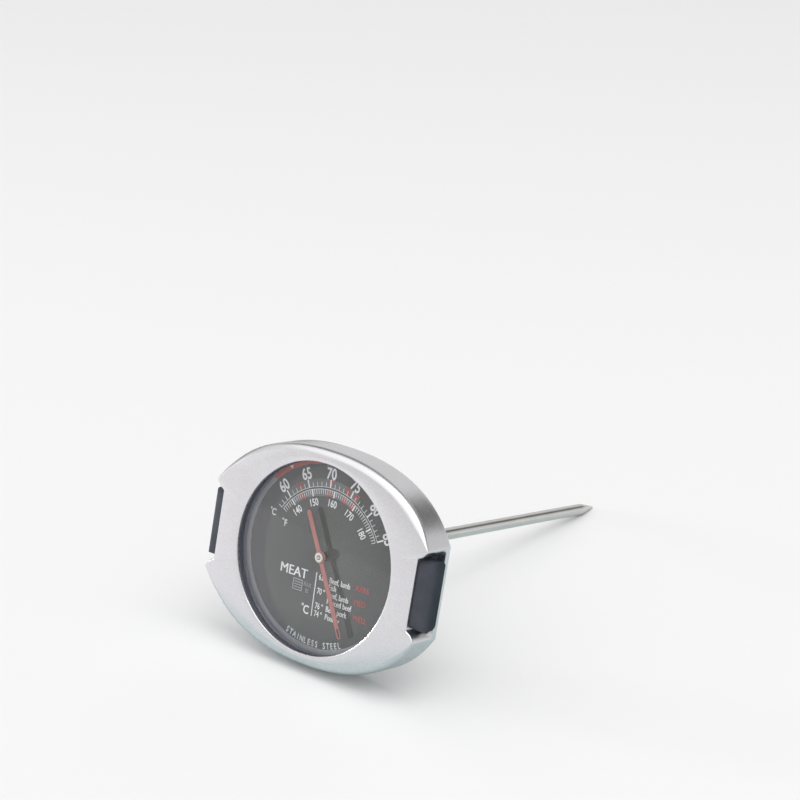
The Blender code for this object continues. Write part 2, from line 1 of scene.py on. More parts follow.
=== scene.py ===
"""Looks of the probe thermometer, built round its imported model.

Everything is modelled in the stem's frame, as the CAD is: +X to the right as the dial is read, +Y down the
dial and +Z the depth from the plane of the bezel's opening towards the tip. STEM is that frame's place in the
world.
"""

import json
import math

import bmesh
import bpy
from mathutils import Matrix, Vector


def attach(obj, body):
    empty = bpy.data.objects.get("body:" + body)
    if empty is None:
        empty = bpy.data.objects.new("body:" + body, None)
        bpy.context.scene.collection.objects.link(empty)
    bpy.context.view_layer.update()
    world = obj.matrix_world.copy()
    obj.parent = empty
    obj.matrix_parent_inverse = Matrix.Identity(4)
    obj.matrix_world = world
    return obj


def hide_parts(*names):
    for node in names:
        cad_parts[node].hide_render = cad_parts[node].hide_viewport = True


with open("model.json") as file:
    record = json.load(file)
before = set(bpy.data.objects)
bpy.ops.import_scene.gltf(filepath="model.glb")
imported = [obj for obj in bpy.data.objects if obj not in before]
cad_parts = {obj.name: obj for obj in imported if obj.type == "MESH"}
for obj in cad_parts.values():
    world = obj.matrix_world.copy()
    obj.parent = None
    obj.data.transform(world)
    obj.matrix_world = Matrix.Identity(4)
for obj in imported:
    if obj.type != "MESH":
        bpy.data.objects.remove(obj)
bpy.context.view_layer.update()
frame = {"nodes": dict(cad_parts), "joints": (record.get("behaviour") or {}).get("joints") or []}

MM = 0.001
ROUND = 160
FINE = 64
MERGE_DISTANCE = 1e-7

# Housing outline and bezel, as in the CAD.
OVAL_X = 40.6 * MM
OVAL_Y = 31.2 * MM
OVAL_POWER = 2.25
OVAL_STEPS = 44
END_X = 38.1 * MM
END_BLEND = 2.0 * MM
END_STEPS = 12
POCKET_X = 35.2 * MM
POCKET_LIP_Y = 12.6 * MM
POCKET_FLOOR_Y = 10.2 * MM
POCKET_RAMP_X = 36.7 * MM
POCKET_RAMP_Y = 10.95 * MM
POCKET_RAMP_R = 0.5 * MM
POCKET_BACK_Z = 8.6 * MM
POCKET_STEPS = 6
HOUSING_DEPTH = 11.0 * MM
SHEET = 0.5 * MM
CORNER_R = 1.6 * MM
CORNER_SHARE = 0.45
SIDE_MIN = 0.1 * MM
GAP = 0.3 * MM
OPENING_R = 27.5 * MM
OPENING_LIP_Z = 0.8 * MM
OPENING_ROLL = 0.3 * MM
CROWN = 0.3 * MM
SHOULDER_TOP = 1.7 * MM
SHOULDER_END = 0.3 * MM
SHOULDER_SLOPE = 1.6
SHOULDER_START = math.radians(22)
SHOULDER_FADE = (12.0 * MM, 22.0 * MM)
BAND_SHARES = (0.35, 0.7, 0.97, 1.0)
RIM_R = 0.5 * MM
RIM_LIP = 1.3 * MM

# Back cover.
COVER_SHEET = 0.45 * MM
COVER_FLANGE_Z = 10.2 * MM
COVER_FLANGE = 1.4 * MM
COVER_STEP = 0.9 * MM
COVER_LAND_Z = 12.7 * MM
COVER_LAND_R = 12.0 * MM
COVER_MIDDLE_R = 8.0 * MM
COVER_HOLE_R = 3.6 * MM

# Grips.
GRIP_HALF_HEIGHT = 9.9 * MM
GRIP_FRONT_Z = 0.9 * MM
GRIP_BACK_Z = POCKET_BACK_Z - GAP
GRIP_OUT_X = 39.2 * MM
GRIP_FRONT_ROUND = 2.0 * MM
GRIP_BACK_ROUND = 0.5 * MM
GRIP_FLAT = 1.0 * MM
GRIP_CORNER = 2.6 * MM
GRIP_EDGE = 0.45 * MM

# Stem and collar.
CONE_LENGTH = 7.5 * MM
CONE_EASE = 0.6 * MM
CONE_SHRINK = 0.985
NOSE_R = 0.35 * MM
COLLAR_NECK_R = 2.7 * MM
COLLAR_BODY_R = 3.4 * MM
COLLAR_BODY = 2.0 * MM
COLLAR_FLANGE_R = 5.2 * MM
COLLAR_FLANGE = 1.0 * MM
COLLAR_SHANK_R = 3.2 * MM
COLLAR_SHANK_Z = 8.4 * MM

# Well under the lens, with two fine grooves round its wall.
WELL_R = 27.5 * MM
GROOVE_DEPTH = 0.12 * MM
GROOVE_HALF_WIDTH = 0.05 * MM
GROOVE_SHARES = (0.3, 0.65)

# Pointer and hub.
POINTER_REST = math.radians(151.8)
POINTER_LONG = 23.5 * MM
POINTER_TAIL = 13.8 * MM
POINTER_HALF_WIDTH = 0.75 * MM
POINTER_DISC_R = 1.85 * MM
POINTER_HOLE_R = 1.2 * MM
POINTER_EDGE = 0.05 * MM
SLOT_LENGTH = 2.6 * MM
SLOT_HALF_WIDTH = 0.38 * MM
HUB_SHANK_R = 0.95 * MM
HUB_DISH = 0.12 * MM
HUB_DISH_RIM = 0.2 * MM

# Dial: both scales share one angle per degree. The print sits slightly turned in the housing.
PRINT_TURN = math.radians(-1.5)
ZERO_C = 60.0
ZERO_TURN = math.radians(-46.1)
TURN_PER_C = math.radians(4.38)
SCALE_C = (57, 85)
SCALE_F = (135, 185)
C_LINE_R = 19.82 * MM
C_MINOR_R = 21.15 * MM
C_MAJOR_R = 22.15 * MM
C_FIGURE_R = 23.85 * MM
F_LINE_R = 19.16 * MM
F_MINOR_R = 17.75 * MM
F_MAJOR_R = 17.2 * MM
F_FIGURE_R = 15.55 * MM
BAND_C = (60.2, 76.6)
BAND_GAP = 0.1 * MM
LINE_W = 0.13 * MM
MINOR_W = 0.16 * MM
MAJOR_W = 0.45 * MM
ACCENT_W = 1.0 * MM
ACCENTS_C = (63, 70, 74, 76)
ACCENTS_F = (145, 158, 165, 169)
INK = 0.03 * MM

# Words on the dial, in millimetres: the table of foods with its doneness column, and the words on an arc.
TABLE_RULE_X = (-1.65, -1.35)
TABLE_RULE_Y = (4.9, 17.7)
TABLE_NUMBER_X = -0.55
TABLE_SIGN_X = 1.9
TABLE_WORD_X = 3.4
TABLE_ROWS = (
    ("63", 5.9, (("Beef, lamb", 5.9), ("Fish", 7.9))),
    ("70", 10.0, (("Beef, lamb", 10.0), ("Minced beef", 12.0))),
    ("76", 14.3, (("Beef, pork", 14.3),)),
    ("74", 16.6, (("Poultry", 16.6),)),
)
DONENESS_X = 12.9
DONENESS = (("RARE", 5.6), ("MED", 9.7), ("WELL", 14.1))
ARC_WORDS = "STAINLESS STEEL"
ARC_WORDS_R = 25.3 * MM
ARC_WORDS_START = -21
ARC_WORDS_SWEEP = 43.5

# Red arc and triangle on the target ring.
ARC_TURNS = (math.radians(-48), math.radians(-6))
MARK_TURN = math.radians(-33)
MARK_HALF_TURN = math.radians(1.5)
MARK_BASE = 1.1 * MM
MARK_TIP = 0.1 * MM

# Stage, in millimetres where it's a pattern on the table. The dark places mirror in the steel.
FLOOR_LEVEL = -0.05 * MM
SHEEN_CENTRE = (20.0, -40.0, 0.0)
SHEEN_FADE = (70.0, 150.0)
DARK_CENTRE = (-220.0, 200.0, 0.0)
DARK_FADE = (110.0, 210.0)
DARK_LEVEL = 0.25
WORLD_LOW = 0.745
WORLD_HIGH = 1.24
SKY_RISE = (0.45, 0.80)
BACK_RIGHT = ((0.19, 0.90, 0.39), 4.0, 18.0, 0.14)
BACK_LEFT = ((-0.90, 0.43, 0.0), 5.0, 18.0, 0.25)
STRIP_NEAR = (0.30, 0.45)
STRIP_FAR = (0.70, 0.82)
STRIP_LOW = (0.25, 0.40)
STRIP_LEVEL = 0.25
DIAL_LAMP_SIZE = 0.03

# Camera: where it stands, and the opening's centre as seen from it.
AZIMUTH = math.radians(38.0)
ELEVATION = math.radians(20.92)
LENS_MM = 111.3
SENSOR_MM = 36.0
CAMERA_RIGHT = 24.5 * MM
CAMERA_ABOVE = 44.36 * MM
CAMERA_BACK = 690.5 * MM


def stem_frame():
    joint = next(j for j in frame["joints"] if j["name"] == "pointer_turn")
    depth = Vector(joint["axis"]).normalized()
    right = Vector((1.0, 0.0, 0.0))
    matrix = Matrix((right, depth.cross(right), depth)).transposed().to_4x4()
    matrix.translation = Vector(joint["pos_m"])
    return matrix


STEM = stem_frame()


def extent(node):
    """A turned CAD node's largest radius, smallest radius, least depth and greatest depth."""
    back = STEM.inverted()
    points = [back @ v.co for v in frame["nodes"][node].data.vertices]
    radii = [math.hypot(p.x, p.y) for p in points]
    depths = [p.z for p in points]
    return max(radii), min(radii), min(depths), max(depths)


# ---- meshes


def placed(name, data):
    """A new object in the scene."""
    item = bpy.data.objects.new(name, data)
    bpy.context.scene.collection.objects.link(item)
    return item


def add_piece(name, mesh, body, material, node=None, smooth=30.0):
    """A piece in the stem's frame that rides on a body. It may stand for a CAD node."""
    item = placed(name, mesh)
    item.matrix_world = STEM
    mesh.materials.clear()
    mesh.materials.append(material)
    mesh.shade_smooth()
    mesh.set_sharp_from_angle(angle=math.radians(smooth))
    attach(item, body)
    if node:
        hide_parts(node)
    return item


def mesh_of(name, points, faces):
    mesh = bpy.data.meshes.new(name)
    mesh.from_pydata(points, [], faces)
    return mesh


def cleaned(mesh):
    """The mesh with doubled points joined and its faces turned outwards."""
    shape = bmesh.new()
    shape.from_mesh(mesh)
    bmesh.ops.remove_doubles(shape, verts=shape.verts, dist=MERGE_DISTANCE)
    bmesh.ops.recalc_face_normals(shape, faces=shape.faces)
    shape.to_mesh(mesh)
    shape.free()
    return mesh


def evaluated(item):
    """The item's shape as a mesh, with its modifiers applied."""
    graph = bpy.context.evaluated_depsgraph_get()
    return bpy.data.meshes.new_from_object(item.evaluated_get(graph))


def mesh_from(curve):
    """The shape of a curve or text as a mesh."""
    item = placed("source", curve)
    mesh = evaluated(item)
    bpy.data.objects.remove(item, do_unlink=True)
    return cleaned(mesh)


def lathe(name, profile, segments=ROUND, closed=True):
    """A turned solid. The profile is (radius, depth) pairs; an open one starts and ends on the axis."""
    points, faces = [], []
    for i in range(segments):
        turn = math.tau * i / segments
        points += [(r * math.cos(turn), r * math.sin(turn), z) for r, z in profile]
    count = len(profile)
    rows = count if closed else count - 1
    for i in range(segments):
        a, b = i * count, (i + 1) % segments * count
        for j in range(rows):
            k = (j + 1) % count
            corners = [a + j, b + j, b + k, a + k]
            if profile[j][0] == 0.0:
                corners = [a + j, b + k, a + k]
            elif profile[k][0] == 0.0:
                corners = [a + j, b + j, a + k]
            faces.append(corners)
    return cleaned(mesh_of(name, points, faces))


def rounded(profile, reach, steps=4, closed=True):
    """The profile with every corner that isn't on the axis rounded."""
    result = []
    count = len(profile)
    for i, corner in enumerate(profile):
        if corner[0] == 0.0 or (not closed and i in (0, count - 1)):
            result.append(corner)
            continue
        result += rounded_corner(profile[i - 1], corner, profile[(i + 1) % count], reach, steps)
    return result


def loft(name, loops):
    """Faces through closed loops of as many points each."""
    count = len(loops[0])
    points = [point for loop in loops for point in loop]
    faces = []
    for row in range(len(loops) - 1):
        start = row * count
        for i in range(count):
            after = (i + 1) % count
            faces.append((start + i, start + count + i, start + count + after, start + after))
    return mesh_of(name, points, faces)


def sheet_of(item, thickness):
    solidify = item.modifiers.new("Sheet", "SOLIDIFY")
    solidify.thickness = thickness
    solidify.offset = -1
    solidify.use_even_offset = True


def bevel(item, width, segments, angle):
    edge = item.modifiers.new("Edge", "BEVEL")
    edge.width = width
    edge.segments = segments
    edge.limit_method = "ANGLE"
    edge.angle_limit = math.radians(angle)
    edge.harden_normals = False


def flat_mesh(name, outlines, front, back, rounding=0.0):
    """A plate between two depths with an edge outline and holes, and lightly rounded edges."""
    curve = bpy.data.curves.new(name, "CURVE")
    curve.dimensions = "2D"
    curve.fill_mode = "BOTH"
    curve.extrude = (back - front) / 2 - rounding
    curve.bevel_depth = rounding
    curve.bevel_resolution = 2
    curve.offset = -rounding
    for outline in outlines:
        spline = curve.splines.new("POLY")
        spline.points.add(len(outline) - 1)
        spline.use_cyclic_u = True
        for point, (x, y) in zip(spline.points, outline):
            point.co = (x, y, 0.0, 1.0)
    mesh = mesh_from(curve)
    mesh.name = name
    mesh.transform(Matrix.Translation((0.0, 0.0, (front + back) / 2)))
    return mesh


# ---- outlines


def at_depth(loop, depth):
    return [(x, y, depth) for x, y in loop]


def between(first, second, share):
    return [tuple(a + (b - a) * share for a, b in zip(p, q)) for p, q in zip(first, second)]


def smooth_step(value, low, high):
    share = min(1.0, max(0.0, (value - low) / (high - low)))
    return share * share * (3 - 2 * share)


def circle(radius):
    turns = [math.tau * i / FINE for i in range(FINE)]
    return [(radius * math.sin(t), radius * math.cos(t)) for t in turns]


def blend(start, corner, end, steps):
    """Points of a quadratic curve from start to end, whose ends both aim at the corner."""
    start, corner, end = Vector(start), Vector(corner), Vector(end)
    shares = [i / steps for i in range(steps + 1)]
    return [tuple(start * (1 - t) ** 2 + corner * 2 * t * (1 - t) + end * t ** 2) for t in shares]


def rounded_corner(before, corner, after, reach, steps):
    """Points that round a corner, starting and ending at most reach from it."""
    corner = Vector(corner)
    ends = []
    for neighbour in (before, after):
        arm = Vector(neighbour) - corner
        ends.append(corner + arm * min(CORNER_SHARE, reach / arm.length))
    return blend(ends[0], corner, ends[1], steps)


def polygon_with_round_corners(corners, reach, steps):
    outline = []
    for i, corner in enumerate(corners):
        outline += rounded_corner(corners[i - 1], corner, corners[(i + 1) % len(corners)], reach, steps)
    return outline


def mirrored_loop(quarter):
    """A closed loop from a quarter that runs from the Y axis to the X axis."""
    right = quarter + [(x, -y) for x, y in reversed(quarter[:-1])]
    return right + [(-x, y) for x, y in reversed(right[1:-1])]


def oval_point(across, down, turn):
    return across * math.cos(turn) ** (2 / OVAL_POWER), down * math.sin(turn) ** (2 / OVAL_POWER)


def oval_slope(across, down, x):
    """How far the oval's edge falls for each unit that it runs outwards, at this x."""
    share = x / across
    return down / across * share ** (OVAL_POWER - 1) * (1 - share ** OVAL_POWER) ** (1 / OVAL_POWER - 1)


def oval(inset=0.0, pocket=False):
    """The housing's outline moved inwards, with squared ends, and with or without the grips' pockets."""
    across, down = OVAL_X - inset, OVAL_Y - inset
    end = END_X - inset
    last_turn = math.acos(((end - END_BLEND) / across) ** (OVAL_POWER / 2))
    turns = [math.pi / 2 + (last_turn - math.pi / 2) * i / OVAL_STEPS for i in range(OVAL_STEPS)]
    quarter = [oval_point(across, down, turn) for turn in turns]
    last = oval_point(across, down, last_turn)
    corner_y = last[1] - END_BLEND * oval_slope(across, down, last[0])
    shift = inset if pocket else 0.0
    side_y = min(corner_y - SIDE_MIN, POCKET_LIP_Y + shift + CORNER_R)
    side = (end, side_y)
    lip = (end, min(side_y - SIDE_MIN, POCKET_LIP_Y + shift))
    ramp_end = (POCKET_RAMP_X - inset, POCKET_RAMP_Y + shift)
    floor = (POCKET_X - inset, POCKET_FLOOR_Y + shift)
    middle = (POCKET_X - inset, 0.0)
    quarter += blend(last, (end, corner_y), side, END_STEPS)
    square_from = len(quarter)
    quarter += rounded_corner(side, lip, ramp_end, CORNER_R, 8)
    quarter += rounded_corner(lip, ramp_end, floor, POCKET_RAMP_R, 5)
    quarter += rounded_corner(ramp_end, floor, middle, POCKET_RAMP_R, 5)
    quarter += [(middle[0], floor[1] * (1 - i / POCKET_STEPS)) for i in range(2, POCKET_STEPS)] + [middle]
    if not pocket:
        quarter[square_from:] = [(end, y) for _, y in quarter[square_from:]]
    return mirrored_loop(quarter)


def opening(radius, depth, outline):
    """A circle with a point towards each point of the outline."""
    return [(x * radius / math.hypot(x, y), y * radius / math.hypot(x, y), depth) for x, y in outline]


def lengths(outline):
    return [math.hypot(x, y) for x, y in outline]


def shoulder_insets(edge):
    """How far in from each point of the edge the shoulder starts. It's narrower at the squared ends."""
    grown = SHOULDER_TOP - SHOULDER_END
    return [SHOULDER_END + grown * smooth_step(abs(y), *SHOULDER_FADE) for _, y in edge]


def shoulder_loop(edge, turn):
    """One loop of the shoulder, which curves over from the face to the side band."""
    reach = (1 - math.sin(turn)) / (1 - math.sin(SHOULDER_START))
    drop = (math.cos(SHOULDER_START) - math.cos(turn)) / math.cos(SHOULDER_START)
    inner = oval(SHOULDER_TOP, pocket=True)
    loop = []
    for (x, y), (inner_x, inner_y), inset in zip(edge, inner, shoulder_insets(edge)):
        share = reach * inset / SHOULDER_TOP
        loop.append((x + (inner_x - x) * share, y + (inner_y - y) * share, inset * SHOULDER_SLOPE * drop))
    return loop


def face_limits(edge):
    """How far out the whole oval's face reaches in the direction of each point, past the pockets."""
    limits = []
    for near, far, inset in zip(lengths(oval()), lengths(oval(SHOULDER_TOP)), shoulder_insets(edge)):
        share = inset / SHOULDER_TOP
        limits.append(far * share + near * (1 - share))
    return limits


def crowned(loop, limits):
    """The loop raised by the face's crown, which is highest halfway between the opening and the limits."""
    start = OPENING_R + OPENING_ROLL
    raised = []
    for (x, y, z), limit in zip(loop, limits):
        share = min(1.0, (math.hypot(x, y) - start) / (limit - start))
        raised.append((x, y, z - CROWN * 2 * share * (1 - share)))
    return raised


def roll_loops(edge):
    """The rolled edge of the opening, from its lip up to the face."""
    loops = [opening(OPENING_R, OPENING_LIP_Z, edge)]
    steps = 6
    for i in range(steps + 1):
        turn = math.pi / 2 * (1 - i / steps)
        radius = OPENING_R + OPENING_ROLL * (1 - math.sin(turn))
        loops.append(opening(radius, OPENING_ROLL * (1 - math.cos(turn)) - CROWN / 2, edge))
    return loops


def face_loops(edge, roll):
    """The crowned face from the roll outwards, and the shoulder from there to the band."""
    limits = face_limits(edge)
    crease = shoulder_loop(edge, SHOULDER_START)
    steps = 10
    loops = [between(roll, crease, i / steps) for i in range(1, steps)]
    for i in range(steps + 1):
        loops.append(shoulder_loop(edge, SHOULDER_START + (math.pi / 2 - SHOULDER_START) * i / steps))
    return [crowned(loop, limits) for loop in loops]


def rim_loops():
    """The rim, rounded and turned in over the back cover."""
    loops = []
    steps = 6
    for i in range(steps + 1):
        turn = math.pi / 2 * i / steps
        inset = RIM_R * (1 - math.cos(turn))
        loops.append(at_depth(oval(inset), HOUSING_DEPTH - RIM_R * (1 - math.sin(turn))))
    loops.append(at_depth(oval(RIM_LIP), HOUSING_DEPTH))
    return loops


def bezel_loops():
    """The bezel's outer surface: rolled edge, face, shoulder, band with pockets, ledge, back rim."""
    edge = oval(pocket=True)
    loops = roll_loops(edge)
    loops += face_loops(edge, loops[-1])
    band_start, band_end = loops[-1], at_depth(edge, POCKET_BACK_Z)
    loops += [between(band_start, band_end, share) for share in BAND_SHARES]
    loops.append(at_depth(oval(), POCKET_BACK_Z + GAP))
    return loops + rim_loops()


def cover_loops():
    """The back cover: flange under the bezel's rim, step, dome, and the land round the stem."""
    step_start = SHEET + GAP + COVER_FLANGE
    step_end = step_start + COVER_STEP
    step_depth = COVER_FLANGE_Z + COVER_STEP
    edge = oval()
    shoulder = at_depth(oval(step_end), step_depth)
    land = opening(COVER_LAND_R, COVER_LAND_Z, edge)
    loops = [opening(radius, COVER_LAND_Z, edge) for radius in (COVER_HOLE_R, COVER_MIDDLE_R)] + [land]
    rise = COVER_LAND_Z - step_depth
    steps = 10
    for i in range(1, steps):
        share = i / steps
        lift = rise * (math.sin(math.pi / 2 * (1 - share)) - (1 - share))
        loops.append([(x, y, z + lift) for x, y, z in between(land, shoulder, share)])
    loops.append(shoulder)
    loops.append(at_depth(oval(step_start), COVER_FLANGE_Z))
    loops.append(at_depth(oval(SHEET + GAP), COVER_FLANGE_Z))
    return loops[::-1]


# ---- materials


ALONG_X = (0.12, 9.0, 9.0)
ALONG_Z = (9.0, 9.0, 0.12)
NO_STRETCH = (1.0, 1.0, 1.0)
NOISE_LOW = 0.3
NOISE_HIGH = 0.7
GLASS_IOR = 1.5
BOTH_FACES = 1.9


def new_material(name):
    material = bpy.data.materials.new(name)
    material.use_nodes = True
    tree = material.node_tree
    return material, tree, tree.nodes["Principled BSDF"]


def coordinates(tree, stretch=NO_STRETCH):
    """Object coordinates in millimetres, stretched."""
    source = tree.nodes.new("ShaderNodeTexCoord")
    mapping = tree.nodes.new("ShaderNodeMapping")
    mapping.inputs["Scale"].default_value = [s / MM for s in stretch]
    tree.links.new(source.outputs["Object"], mapping.inputs["Vector"])
    return mapping.outputs["Vector"]


def noise(tree, scale, detail, roughness=0.55, stretch=NO_STRETCH):
    """Noise with about this many features to a millimetre."""
    texture = tree.nodes.new("ShaderNodeTexNoise")
    texture.inputs["Scale"].default_value = scale
    texture.inputs["Detail"].default_value = detail
    texture.inputs["Roughness"].default_value = roughness
    tree.links.new(coordinates(tree, stretch), texture.inputs["Vector"])
    return texture.outputs["Fac"]


def spread(tree, value, low, high):
    """The noise mapped onto low to high."""
    node = tree.nodes.new("ShaderNodeMapRange")
    node.inputs["From Min"].default_value = NOISE_LOW
    node.inputs["From Max"].default_value = NOISE_HIGH
    node.inputs["To Min"].default_value = low
    node.inputs["To Max"].default_value = high
    tree.links.new(value, node.inputs["Value"])
    return node.outputs["Result"]


def tinted(tree, value, dark, light):
    """A colour between two, by the noise."""
    node = tree.nodes.new("ShaderNodeValToRGB")
    first, second = node.color_ramp.elements
    first.color = (*dark, 1.0)
    first.position = NOISE_LOW
    second.color = (*light, 1.0)
    second.position = NOISE_HIGH
    tree.links.new(value, node.inputs["Fac"])
    return node.outputs["Color"]


def bumped(tree, value, distance):
    node = tree.nodes.new("ShaderNodeBump")
    node.inputs["Distance"].default_value = distance
    node.inputs["Strength"].default_value = 1.0
    tree.links.new(value, node.inputs["Height"])
    return node.outputs["Normal"]


def average(tree, first, second, share):
    node = tree.nodes.new("ShaderNodeMix")
    node.data_type = "FLOAT"
    node.inputs["Factor"].default_value = share
    tree.links.new(first, node.inputs["A"])
    tree.links.new(second, node.inputs["B"])
    return node.outputs["Result"]


def colour_mix(tree, share, first, second):
    node = tree.nodes.new("ShaderNodeMix")
    node.data_type = "RGBA"
    tree.links.new(share, node.inputs["Factor"])
    tree.links.new(first, node.inputs["A"])
    tree.links.new(second, node.inputs["B"])
    return node.outputs["Result"]


def ramp(tree, value, low, high, start=0.0, end=1.0):
    """Runs smoothly from start to end as the value goes from low to high."""
    node = tree.nodes.new("ShaderNodeMapRange")
    node.interpolation_type = "SMOOTHSTEP"
    node.inputs["From Min"].default_value = low
    node.inputs["From Max"].default_value = high
    node.inputs["To Min"].default_value = start
    node.inputs["To Max"].default_value = end
    tree.links.new(value, node.inputs["Value"])
    return node.outputs["Result"]


def calculated(tree, operation, first, second, clamp=False):
    """A sum or product of two values, each a number or another node's output."""
    node = tree.nodes.new("ShaderNodeMath")
    node.operation = operation
    node.use_clamp = clamp
    for socket, value in zip(node.inputs, (first, second)):
        if isinstance(value, float):
            socket.default_value = value
        else:
            tree.links.new(value, socket)
    return node.outputs["Value"]


def set_surface(tree, shader, colour, roughness, normal):
    tree.links.new(colour, shader.inputs["Base Color"])
    tree.links.new(roughness, shader.inputs["Roughness"])
    tree.links.new(normal, shader.inputs["Normal"])


def metal(name, dark, light, rough, grain=ALONG_X, depth=0.0012 * MM):
    """Metal with a fine grain that runs along one direction, and faint handling marks."""
    material, tree, shader = new_material(name)
    streaks = noise(tree, 1.0, 5.0, 0.7, grain)
    marks = noise(tree, 0.12, 4.0, 0.6)
    both = average(tree, streaks, marks, 0.45)
    set_surface(tree, shader, tinted(tree, both, dark, light), spread(tree, both, *rough),
                bumped(tree, streaks, depth))
    shader.inputs["Metallic"].default_value = 1.0
    return material


def matt(name, dark, light, rough, pitch, depth, specular=0.5):
    """A moulded, painted or printed surface: fine texture, and a slow change of shade."""
    material, tree, shader = new_material(name)
    fine = noise(tree, pitch, 3.0)
    slow = noise(tree, 0.15, 2.0)
    both = average(tree, fine, slow, 0.5)
    set_surface(tree, shader, tinted(tree, both, dark, light), spread(tree, fine, *rough),
                bumped(tree, fine, depth))
    shader.inputs["Specular IOR Level"].default_value = specular
    return material


def rubber(name):
    """Silicone: fine pores, and a paler front that is a painted reflection of the light in front of it."""
    material, tree, shader = new_material(name)
    pores = noise(tree, 5.0, 4.0, 0.6)
    slow = noise(tree, 0.25, 2.0)
    place = tree.nodes.new("ShaderNodeSeparateXYZ")
    tree.links.new(coordinates(tree), place.inputs["Vector"])
    # Painted reflection: the grip is paler at its front and darker towards its back.
    depth = ramp(tree, place.outputs["Z"], 1.0, 6.5)
    front = tinted(tree, slow, (0.056, 0.059, 0.076), (0.070, 0.074, 0.094))
    back = tinted(tree, slow, (0.014, 0.024, 0.034), (0.022, 0.034, 0.046))
    set_surface(tree, shader, colour_mix(tree, depth, front, back), spread(tree, pores, 0.62, 0.8),
                bumped(tree, pores, 0.006 * MM))
    shader.inputs["Specular IOR Level"].default_value = 0.3
    return material


def clear_glass(name):
    """A polished pane that lets light straight through. Its front face carries both faces' reflection."""
    material = bpy.data.materials.new(name)
    material.use_nodes = True
    tree = material.node_tree
    tree.nodes.clear()
    output = tree.nodes.new("ShaderNodeOutputMaterial")
    mix = tree.nodes.new("ShaderNodeMixShader")
    clear = tree.nodes.new("ShaderNodeBsdfTransparent")
    clear.inputs["Color"].default_value = (0.985, 0.99, 0.99, 1.0)
    gloss = tree.nodes.new("ShaderNodeBsdfGlossy")
    tree.links.new(spread(tree, noise(tree, 0.2, 4.0, 0.6), 0.02, 0.06), gloss.inputs["Roughness"])
    fresnel = tree.nodes.new("ShaderNodeFresnel")
    fresnel.inputs["IOR"].default_value = GLASS_IOR
    facing = tree.nodes.new("ShaderNodeNewGeometry")
    front = calculated(tree, "SUBTRACT", 1.0, facing.outputs["Backfacing"])
    both = calculated(tree, "MULTIPLY", fresnel.outputs["Fac"], BOTH_FACES, clamp=True)
    tree.links.new(calculated(tree, "MULTIPLY", both, front), mix.inputs["Fac"])
    tree.links.new(clear.outputs["BSDF"], mix.inputs[1])
    tree.links.new(gloss.outputs["BSDF"], mix.inputs[2])
    tree.links.new(mix.outputs["Shader"], output.inputs["Surface"])
    return material


STEEL = metal("bezel_satin", (0.735, 0.725, 0.74), (0.79, 0.78, 0.795), (0.24, 0.30), depth=0.0016 * MM)
STEM_STEEL = metal("stem_drawn", (0.60, 0.585, 0.56), (0.74, 0.725, 0.70), (0.16, 0.28), ALONG_Z)
BACK_STEEL = metal("cover_pressed", (0.62, 0.62, 0.63), (0.76, 0.76, 0.77), (0.25, 0.38))
HIDDEN_STEEL = metal("inner_steel", (0.55, 0.55, 0.56), (0.72, 0.72, 0.73), (0.28, 0.42))
DARK_BRASS = metal("blackened_brass", (0.06, 0.055, 0.05), (0.10, 0.09, 0.08), (0.35, 0.5))
BRASS = metal("turned_brass", (0.58, 0.43, 0.20), (0.78, 0.62, 0.34), (0.22, 0.36))
BIMETAL = metal("bimetal_strip", (0.45, 0.36, 0.26), (0.66, 0.55, 0.42), (0.28, 0.42))
RUBBER = rubber("grip_silicone")
HUB_METAL = matt("hub_lacquer", (0.74, 0.72, 0.66), (0.84, 0.82, 0.76), (0.3, 0.4), 4.0, 0.002 * MM)
DARK_PLASTIC = matt("moulded_dark", (0.145, 0.147, 0.185), (0.175, 0.178, 0.225), (0.4, 0.52), 6.0,
                    0.003 * MM)
RING_PLASTIC = matt("moulded_grey", (0.33, 0.33, 0.36), (0.37, 0.37, 0.40), (0.45, 0.55), 6.0, 0.002 * MM)
SEAL = matt("seal_silicone", (0.40, 0.40, 0.39), (0.50, 0.50, 0.49), (0.6, 0.75), 3.0, 0.006 * MM)
LENS_SEAL = matt("lens_seal_dark", (0.03, 0.03, 0.032), (0.05, 0.05, 0.055), (0.6, 0.75), 3.0, 0.006 * MM)
DIAL_PAINT = matt("dial_enamel", (0.047, 0.047, 0.0505), (0.049, 0.049, 0.053), (0.8, 0.9), 1.5,
                  0.0003 * MM, 0.05)
RED_PAINT = matt("pointer_paint", (0.43, 0.165, 0.15), (0.49, 0.195, 0.18), (0.4, 0.5), 8.0, 0.002 * MM)
WHITE_INK = matt("ink_white", (0.80, 0.80, 0.82), (0.90, 0.90, 0.92), (0.5, 0.6), 9.0, 0.0015 * MM)
GREY_INK = matt("ink_grey", (0.150, 0.155, 0.165), (0.175, 0.18, 0.19), (0.45, 0.55), 9.0, 0.0015 * MM)
FAINT_INK = matt("ink_faint", (0.30, 0.30, 0.31), (0.34, 0.34, 0.35), (0.45, 0.55), 9.0, 0.0015 * MM)
RED_INK = matt("ink_red", (0.42, 0.055, 0.05), (0.52, 0.08, 0.07), (0.45, 0.55), 9.0, 0.0015 * MM)
ARC_INK = matt("ink_arc", (0.46, 0.12, 0.105), (0.54, 0.15, 0.13), (0.4, 0.5), 9.0, 0.0015 * MM)
GLASS = clear_glass("lens_clear")
FLOOR_PAPER = matt("floor_paper", (0.85, 0.85, 0.85), (0.855, 0.855, 0.855), (0.85, 0.95), 0.4,
                   0.0005 * MM, 0.0)


# ---- pieces


def make_bezel():
    mesh = loft("bezel_shell", bezel_loops())
    item = add_piece("bezel_shell", mesh, "housing", STEEL, "front_bezel", smooth=12.0)
    sheet_of(item, SHEET)


def make_cover():
    mesh = loft("cover_shell", cover_loops())
    item = add_piece("cover_shell", mesh, "housing", BACK_STEEL, "back_cover")
    sheet_of(item, COVER_SHEET)


